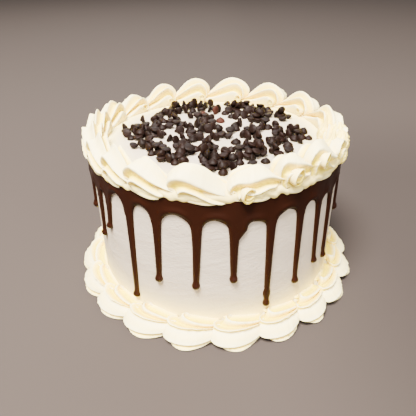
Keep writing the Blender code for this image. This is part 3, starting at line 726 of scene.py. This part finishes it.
# azimuth at the collar and at the tip, lowest point, half widths under the collar, above
# the drop and at the drop, a bead (level, half width) on the way down, and extra width of
# its right side under the collar
frontDrips = [
    (-149.0, -150.5, 55.4, 3.6, 2.2, 2.9, (0, 0), 0), (-141.0, -142.5, 69.6, 3.6, 2.2, 2.9, (0, 0), 0),
    (-127.3, -128.3, 16.5, 3.7, 2.3, 3.0, (0, 0), 0), (-114.1, -115.0, 41.8, 3.7, 2.3, 3.0, (0, 0), 0),
    (-98.0, -99.0, 40.9, 3.9, 2.4, 3.0, (0, 0), 0), (-83.7, -83.7, 47.0, 4.0, 2.4, 3.0, (0, 0), 5.0),
    (-69.0, -69.0, 18.9, 3.8, 2.2, 2.8, (31.5, 3.2), 0), (-55.0, -54.5, 30.6, 3.6, 2.2, 2.9, (0, 0), 0),
    (-43.6, -41.8, 38.2, 3.4, 2.1, 2.8, (0, 0), 0), (-32.9, -31.5, 32.4, 3.4, 2.1, 2.8, (44.0, 2.9), 0),
]
backDrips = {
    "count": 16, "shortest": 28.0, "longest": 78.0, "jitter": 0.14, "rest": (3.7, 2.3, 2.9, (0, 0), 0),
}
# how a stem narrows on its way down, from its width at the top (1) to that at the drop (0)
stemShare = ([0, 0.12, 0.35, 0.7, 0.9, 1], [1, 0.72, 0.42, 0.2, 0, 0])
# height of a drop's round end, over its half width
dropTall = 1.1
# the drips are laid out by arc length in the middle of the band
arcPerDegree = math.radians(1) * (collar["inner"] + 1.0)


def allDrips():
    # the front drips as seen, then the back ones, evenly spaced with a little jitter
    draw = random.Random(5)
    start, span = frontDrips[-1][0], frontDrips[0][0] + 360 - frontDrips[-1][0]
    step = span / (backDrips["count"] + 1)
    drips = list(frontDrips)
    for i in range(1, backDrips["count"] + 1):
        place = start + i * step + draw.uniform(-backDrips["jitter"], backDrips["jitter"]) * step
        low = draw.uniform(backDrips["shortest"], backDrips["longest"])
        drips.append((place, place, low, *backDrips["rest"]))
    return drips


def dripOutline(form, reaches, arches):
    # Rows down one drip: level of its middle, then level of each edge and its distance
    # from the middle line. The white arches between drips are superellipses
    # 1 - (1 - a ^ q) ^ (1 / q), so the drip is what they leave. Then a tapering stem,
    # joined smoothly with a ball sqrt(r^2 - h^2) at the drop and at a bead, and a
    # half-round tip. Rows draw together towards the drop.
    c = collar
    low, top, neck, drop, bead, flare = form
    arch = np.linspace(0, 1, c["funnelRows"])
    share = 1 - (1 - arch ** c["square"]) ** (1 / c["square"])
    stemTop = c["archTop"] - c["funnel"]
    stem = 1 - (1 - np.linspace(0, 1, c["stemRows"] + 1)[1:]) ** c["crowd"]
    stemEnd = low + dropTall * drop
    stemLevel = stemTop + (stemEnd - stemTop) * stem
    stemWidth = neck + (top - neck) * np.interp(stem, *stemShare)
    for level, radius in (bead, (stemEnd, drop)):
        ball = np.sqrt(np.clip(radius**2 - ((stemLevel - level) * c["ballFlat"]) ** 2, 0, None))
        stemWidth = (stemWidth ** c["joined"] + ball ** c["joined"]) ** (1 / c["joined"])
    stemWidth[-1] = drop
    tip = np.linspace(0, np.pi / 2, c["tipRows"] + 1)[1:]
    tipLevel = stemEnd - dropTall * drop * np.sin(tip)
    tipWidth = np.maximum(drop * np.cos(tip), 0.02)
    middle = sum(arches) / 2
    rows = [np.concatenate([middle + (stemTop - middle) * arch, stemLevel, tipLevel])]
    for reach, archLevel, extra in zip(reaches, arches, (0, flare)):
        root = top + extra
        funnelWidth = root + (reach - root) * (1 - arch)
        funnelLevel = archLevel + (stemTop - archLevel) * share
        wider = extra * np.clip(1 - (stemTop - stemLevel) / c["flareOver"], 0, 1)
        rows.append(np.concatenate([funnelLevel, stemLevel, tipLevel]))
        rows.append(np.concatenate([funnelWidth, stemWidth + wider, tipWidth]))
    return rows


def placedDrips():
    # Every drip's rows, the middle line they hang on and their outline as (offset, level).
    # Offsets are arc lengths from azimuth 0, so neighbours agree where they meet.
    c = collar
    drips = allDrips()
    draw = np.random.default_rng(3)
    arches = c["archTop"] + draw.uniform(-c["archSpread"], c["archSpread"], len(drips))
    arches[:len(c["frontArches"])] = c["frontArches"]
    stemTop = c["archTop"] - c["funnel"]
    placed = []
    for i, (place, tipPlace, low, *rest) in enumerate(drips):
        after = (i + 1) % len(drips)
        gaps = (place - drips[i - 1][0]) % 360, (drips[after][0] - place) % 360
        rows = dripOutline((low, *rest), [gap * arcPerDegree / 2 for gap in gaps], (arches[i], arches[after]))
        _, levelL, widthL, levelR, widthR = rows
        slid = np.clip((stemTop - levelL) / (stemTop - low), 0, 1) ** c["slide"]
        middle = place * arcPerDegree + (tipPlace - place) * arcPerDegree * slid
        left, right = np.stack([middle - widthL, levelL], -1), np.stack([middle + widthR, levelR], -1)
        outline = np.concatenate([left, right])
        placed.append({"rows": rows, "middle": middle, "outline": outline, "low": low, "drop": rest[2]})
    return placed


def collarGrids():
    # Every drip is a grid of columns across and rows down. Thickness follows the distance
    # to the outline: t sqrt(1 - (1 - d / e)^2) within e of the edge, so edges are round.
    c = collar
    across = np.sin(np.linspace(-1, 1, c["columns"]) * np.pi / 2)[None, :]
    circle = 360 * arcPerDegree
    placed = placedDrips()
    grids, thins = [], []
    for i, drip in enumerate(placed):
        levelM, levelL, widthL, levelR, widthR = drip["rows"]
        middle = drip["middle"]
        straight = np.where(across < 0, levelL[:, None], levelR[:, None])
        level = levelM[:, None] * (1 - across**2) + straight * across**2
        offset = middle[:, None] + across * np.where(across < 0, widthL[:, None], widthR[:, None])
        bandShare = np.linspace(0, 1, c["bandRows"], endpoint=False)[:, None]
        levels = np.vstack([c["top"] + (level[:1] - c["top"]) * bandShare, level])
        offsets = np.vstack([offset[:1] * np.ones_like(bandShare), offset])
        near = [drip["outline"]]
        for other in (placed[i - 1], placed[(i + 1) % len(placed)]):
            wrapped = (other["outline"][:, 0] - middle[0] + circle / 2) % circle - circle / 2 + middle[0]
            near.append(np.stack([wrapped, other["outline"][:, 1]], -1))
        near = np.concatenate(near)
        gap = np.hypot(offsets[..., None] - near[:, 0], levels[..., None] - near[:, 1]).min(axis=-1)
        gap[c["bandRows"]:, [0, -1]] = 0
        halfWidth = np.concatenate([np.full(c["bandRows"], c["bandRound"]), (widthL + widthR) / 2])[:, None]
        share = np.clip(gap / np.clip(halfWidth, 0.05, c["edgeRound"]), 0, 1)
        hanging = np.clip((c["archTop"] - c["funnel"] * c["hangFrom"] - levels) / c["hangOver"], 0, 1)
        aboveDrop = levels - drip["low"] - dropTall * drip["drop"]
        thick = c["thick"] + c["stemExtra"] * hanging
        thick = thick + c["dropBulge"] * np.exp(-(aboveDrop / c["dropSpread"]) ** 2)
        thick = np.minimum(thick, np.maximum(halfWidth * 1.15, 0.1))
        apart = np.clip((np.abs(offsets - middle[0]) - 3) / 5, 0, 1)
        rim = c["rim"] * np.exp(-((gap - c["rimFrom"]) / c["rimWidth"]) ** 2) * (1 - hanging) * apart
        flow = c["flow"] * waves(offsets / circle * 2 * np.pi, 8, 12, 40) * (1 - hanging) * share
        depth = (thick + rim + flow) * np.sqrt(1 - (1 - share) ** 2)
        angle = offsets / arcPerDegree * math.radians(1)
        outer = onCircle(c["inner"] + depth, angle, levels)
        inner = onCircle(c["inner"], angle, levels)
        lid = np.stack([inner[0], outer[0]])
        grids += [(outer, False, False), (inner[:, ::-1], False, False), (lid, False, False)]
        thins += [1 - share, np.zeros_like(share), np.zeros(lid.shape[:2])]
    return grids, thins


grids, thins = collarGrids()
pouredGanache = meshFromGrids("ganache_drip", grids, {"thin": thins})
mergeSeams(pouredGanache, 0.004, 60.0)
finishPiece(pouredGanache, ganache, ["chocolate_drip"])
print("ganache poured:", len(pouredGanache.data.polygons), "faces")


# Chocolate chips: size of one, how far out they lie, how far apart they lie, the shares
# that stand upright and that lie on their side (the rest are tip down), the lift of one
# that lies on others, and how deep they are sunk. Then how widely a clump is thrown, the
# range of sizes, widths, heights and shades, and how much each of the three poses leans.
chips = {
    "radius": 3.9, "tall": 4.8, "bend": 0.7, "around": 12, "field": 80.0, "apart": 5.4, "upright": 0.34,
    "lying": 0.34, "lift": 3.4, "sunk": 0.35, "tries": 30, "lumps": 0.03, "nearBloomed": 5.0,
    "thrown": 0.62, "sizes": (0.88, 1.08), "wide": (0.94, 1.06), "high": (0.84, 1.02), "shades": (0.2, 1.3),
    "lyingTilt": 110.0, "leans": (0.16, 0.1, 0.22),
}
# clumps as they fell: middle x, y, spread and weight
clumps = [
    (-74, 15, 1, 1), (-65, 8, 6, 5), (-64, -6, 5, 4), (-55, 3, 6, 5), (-56, 18, 4, 2), (-62, 32, 2, 1),
    (-50, 33, 5, 4), (-43, 48, 5, 4), (-37, 60, 5, 4), (-29, 60, 6, 4), (-19, 68, 5, 5), (-11, 63, 3, 2),
    (-20, 41, 1, 1), (-5, 60, 5, 4), (-1, 72, 4, 2), (9, 52, 4, 4), (-8, 36, 5, 4), (-12, 22, 5, 4),
    (-35, 30, 5, 4), (-42, 18, 4, 3), (-29, 15, 5, 4), (-21, 4, 5, 4), (-45, -2, 4, 3), (-38, -12, 1, 1),
    (-21, -12, 5, 4), (-13, -8, 3, 2), (-6, 4, 4, 2), (3, 7, 3, 2), (2, -9, 5, 5), (18, 70, 5, 3),
    (18, 56, 4, 3), (18, 38, 3, 2), (29, 66, 5, 4), (30, 45, 6, 5), (41, 55, 6, 6), (38, 32, 6, 6),
    (43, 15, 4, 3), (51, 42, 5, 4), (60, 42, 5, 4), (62, 28, 2, 1), (21, 17, 3, 2), (15, 4, 4, 2),
    (32, 5, 4, 3), (30, -9, 5, 5), (37, -20, 4, 3), (55, 10, 3, 2), (54, -6, 5, 5), (65, -3, 5, 5),
    (67, -13, 4, 4), (50, -22, 6, 5), (42, -27, 4, 3), (18, -20, 2, 1), (21, -40, 5, 5), (29, -34, 5, 5),
    (25, -51, 6, 7), (33, -46, 4, 3), (15, -55, 4, 3), (45, -43, 4, 3), (55, -39, 1, 1), (-57, -25, 4, 3),
    (-50, -27, 4, 3), (-44, -34, 5, 5), (-38, -43, 5, 4), (-27, -30, 4, 4), (-26, -42, 5, 6),
    (-29, -54, 5, 5), (-12, -31, 3, 2), (-4, -28, 4, 3), (0, -40, 6, 6), (-7, -48, 5, 5), (3, -55, 6, 6),
    (5, -68, 5, 5), (-3, -66, 4, 3),
]
bloomedPlaces = [(-9, 47), (3, 50), (6, 30)]
# the outline of a chip as shares of its height and radius
chipProfile = [
    (0.0, 0.0), (0.0, 0.86), (0.07, 0.98), (0.22, 1.0), (0.4, 0.92), (0.58, 0.74), (0.74, 0.5),
    (0.87, 0.28), (0.96, 0.15), (1.0, 0.0),
]


def chipGrid():
    # A drop of chocolate turned round its axis: a flat foot with a rounded edge, a full
    # shoulder and a tip drawn out to one side by bend * share ^ 3.
    stations = np.array(chipProfile)
    angle = fullTurn(chips["around"])[None, :]
    points = onCircle(stations[:, 1:] * chips["radius"], angle, stations[:, :1] * chips["tall"])
    points[..., 0] += chips["bend"] * stations[:, :1] ** 3
    return points


def scatterChips():
    # a clump gets its weight and a third in chips, each thrown until it lies clear of the
    # others, and laid on top of them when there is no room
    draw = random.Random(17)
    placed = []
    for x, y, spread, weight in clumps:
        for _ in range(weight + weight // 3):
            for _ in range(chips["tries"]):
                px = x + draw.gauss(0, spread * chips["thrown"])
                py = y + draw.gauss(0, spread * chips["thrown"])
                low = [math.hypot(px - qx, py - qy) for qx, qy, lift in placed if lift == 0]
                if math.hypot(px, py) < chips["field"] and min(low, default=99) >= chips["apart"]:
                    placed.append((px, py, 0.0))
                    break
            else:
                high = [math.hypot(px - qx, py - qy) for qx, qy, lift in placed if lift > 0]
                if math.hypot(px, py) < chips["field"] - 3 and min(high, default=99) >= chips["apart"]:
                    placed.append((px, py, chips["lift"]))
    return placed


def setChip(base, x, y, lift, draw):
    # one chip, upright, on its side or tip down, turned and squashed at random, with
    # lumps 1 + 0.03 sin(2 a) + 0.03 sin(3 a) round it, and its lowest point on the frosting
    pose = draw.random()
    size = draw.uniform(*chips["sizes"])
    spin = draw.uniform(0, 2 * math.pi)
    tilt = draw.gauss(0, chips["leans"][0])
    if pose > chips["upright"] + chips["lying"]:
        tilt = math.pi + draw.gauss(0, chips["leans"][2])
    elif pose > chips["upright"]:
        tilt = math.radians(chips["lyingTilt"]) + draw.gauss(0, chips["leans"][1])
    rotation = np.array(Matrix.Rotation(spin, 3, "Z") @ Matrix.Rotation(tilt, 3, "X"))
    angle = fullTurn(chips["around"])[None, :, None]
    lumps = 1 + sum(chips["lumps"] * np.sin(times * angle + draw.uniform(0, 6)) for times in (2, 3))
    squash = np.array([draw.uniform(*chips[side]) for side in ("wide", "wide", "high")])
    lumps = np.concatenate([lumps, lumps, np.ones_like(lumps)], axis=-1)
    points = base * size * squash * lumps @ rotation.T
    level = body["height"] - chips["sunk"] + lift - points[..., 2].min()
    return points + np.array([x, y, level])


chipBase = chipGrid()
draw = random.Random(29)
darkGrids, shades, bloomGrids = [], [], []
for x, y, lift in scatterChips():
    if min(math.hypot(x - bx, y - by) for bx, by in bloomedPlaces) < chips["nearBloomed"]:
        continue
    points = setChip(chipBase, x, y, lift, draw)
    darkGrids.append((points, False, True))
    shades.append(np.full(points.shape[:2], draw.uniform(*chips["shades"])))
for x, y in bloomedPlaces:
    bloomGrids.append((setChip(chipBase, x, y, 0.0, draw), False, True))
darkChips = meshFromGrids("dark_chips", darkGrids, {"shade": shades})
finishPiece(darkChips, chipChocolate)
bloomedChips = meshFromGrids("bloomed_chips", bloomGrids)
finishPiece(bloomedChips, bloomedChocolate)
print("chips scattered:", len(darkGrids) + len(bloomGrids))

for piece in (darkChips, bloomedChips, topPiping, footPiping, frosting):
    mergeSeams(piece, 0.001)
